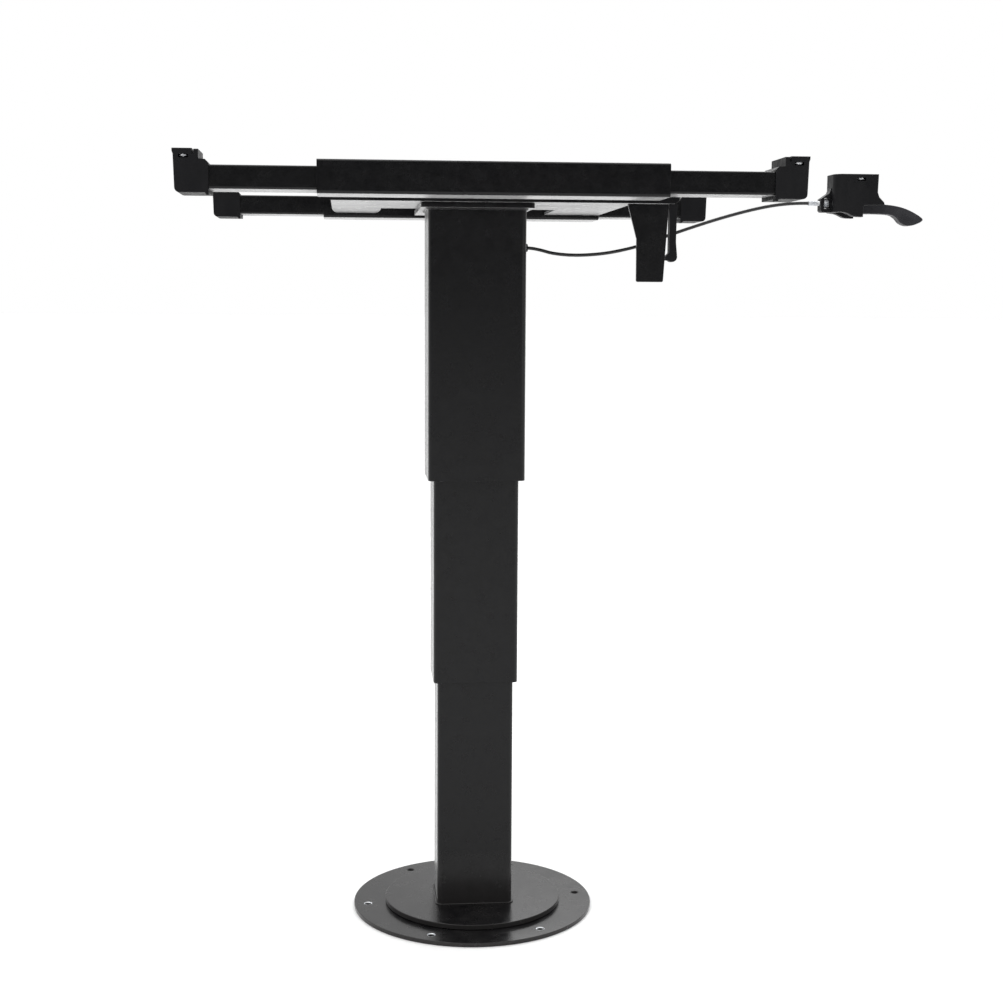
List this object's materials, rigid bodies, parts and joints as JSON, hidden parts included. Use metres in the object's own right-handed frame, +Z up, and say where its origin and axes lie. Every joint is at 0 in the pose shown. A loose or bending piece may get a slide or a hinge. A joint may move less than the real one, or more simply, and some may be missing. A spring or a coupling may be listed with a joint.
{
  "type": "linear actuator",
  "caption": "Manual three-stage lifting column on a round floor flange, with a sliding top frame, a gas spring inside and a paddle lever on a cable.",
  "frame": {"origin": "middle of the floor flange's underside, on the column's axis", "axes": "+Z up along the column's stroke, +X towards the release lever along the cross bars, -Y towards the person seated at the table"},
  "size_m": [0.6966, 0.456, 0.726],
  "materials": {
    "black_powder_coat": "black fine-texture powder coat, satin",
    "black_plastic": "moulded black plastic, fine texture",
    "lever_plastic": "moulded dark grey plastic",
    "cable_jacket": "smooth black cable jacket",
    "zinc_plated_steel": "bright zinc plate",
    "polished_steel": "polished hard chrome",
    "glide_plastic": "natural acetal",
    "spring_steel": "drawn spring wire"
  },
  "bodies": {
    "base": {"floor_flange": "black_powder_coat", "base_disc": "black_powder_coat", "lower_tube": "black_powder_coat", "lower_glide": "glide_plastic", "spring_foot": "zinc_plated_steel", "gas_cylinder": "black_powder_coat", "rod_guide": "zinc_plated_steel"},
    "mid": {"mid_tube": "black_powder_coat", "mid_bottom_glide": "glide_plastic", "mid_top_glide": "glide_plastic"},
    "upper": {"upper_tube": "black_powder_coat", "upper_glide": "glide_plastic", "head_plate": "black_powder_coat", "centre_plate": "black_powder_coat", "head_bolt_left": "zinc_plated_steel", "head_bolt_right": "zinc_plated_steel", "front_sleeve": "black_powder_coat", "rear_sleeve": "black_powder_coat", "cross_member_left": "black_powder_coat", "cross_member_right": "black_powder_coat", "liner_front_left": "black_plastic", "liner_front_right": "black_plastic", "liner_rear_left": "black_plastic", "liner_rear_right": "black_plastic", "clamp_screw_front_left": "zinc_plated_steel", "clamp_screw_front_right": "zinc_plated_steel", "clamp_screw_rear_left": "zinc_plated_steel", "clamp_screw_rear_right": "zinc_plated_steel", "hanger_block": "black_powder_coat", "hanger_bracket": "black_powder_coat", "cable_hook": "black_plastic", "lever_housing": "black_plastic", "lever_pin": "zinc_plated_steel", "return_spring": "spring_steel", "release_cable": "cable_jacket", "cable_grommet": "black_plastic", "cable_ferrule": "zinc_plated_steel", "release_bracket": "zinc_plated_steel", "rod_nut": "zinc_plated_steel", "gas_rod": "polished_steel", "piston": "black_plastic", "rocker_pin": "zinc_plated_steel"},
    "front_left_bar": {"bar_front_left": "black_powder_coat", "end_bracket_front_left": "black_plastic"},
    "front_right_bar": {"bar_front_right": "black_powder_coat", "end_bracket_front_right": "black_plastic"},
    "rear_left_bar": {"bar_rear_left": "black_powder_coat", "end_bracket_rear_left": "black_plastic"},
    "rear_right_bar": {"bar_rear_right": "black_powder_coat", "end_bracket_rear_right": "black_plastic"},
    "lever": {"release_lever": "lever_plastic"},
    "adjuster": {"barrel_adjuster": "zinc_plated_steel", "adjuster_nut": "zinc_plated_steel"},
    "rocker": {"release_rocker": "polished_steel"},
    "valve": {"valve_pin": "polished_steel"}
  },
  "joints": [
    {"name": "mid_slide", "type": "slide", "parent": "base", "child": "mid", "axis": [0, 0, 1], "range_m": [-0.14, 0]},
    {"name": "upper_slide", "type": "slide", "parent": "mid", "child": "upper", "axis": [0, 0, 1], "range_m": [-0.14, 0]},
    {"name": "front_left_extend", "type": "slide", "parent": "upper", "child": "front_left_bar", "axis": [-1, 0, 0], "range_m": [-0.03, 0.05]},
    {"name": "front_right_extend", "type": "slide", "parent": "upper", "child": "front_right_bar", "axis": [1, 0, 0], "range_m": [-0.03, 0.05]},
    {"name": "rear_left_extend", "type": "slide", "parent": "upper", "child": "rear_left_bar", "axis": [-1, 0, 0], "range_m": [-0.03, 0.05]},
    {"name": "rear_right_extend", "type": "slide", "parent": "upper", "child": "rear_right_bar", "axis": [1, 0, 0], "range_m": [-0.03, 0.05]},
    {"name": "lever_pull", "type": "hinge", "parent": "upper", "child": "lever", "pos_m": [0.362, -0.025, 0.7115], "axis": [0, -1, 0], "range_deg": [0, 15], "stiffness_Nm_per_rad": 0.25, "springref_deg": -20.05},
    {"name": "rocker_turn", "type": "hinge", "parent": "upper", "child": "rocker", "pos_m": [0.0085, 0, 0.668], "axis": [0, -1, 0], "range_deg": [0, 14.5]},
    {"name": "valve_press", "type": "slide", "parent": "upper", "child": "valve", "axis": [0, 0, -1], "range_m": [0, 0.0026]},
    {"name": "adjuster_turn", "type": "hinge", "parent": "upper", "child": "adjuster", "pos_m": [0.33, -0.025, 0.699], "axis": [1, 0, 0], "range_deg": [-180, 180]}
  ],
  "couplings": [
    {"joint": "rocker_turn", "follows": "lever_pull", "ratio": 0.96},
    {"joint": "valve_press", "follows": "lever_pull", "m_per_rad": 0.0096}
  ]
}
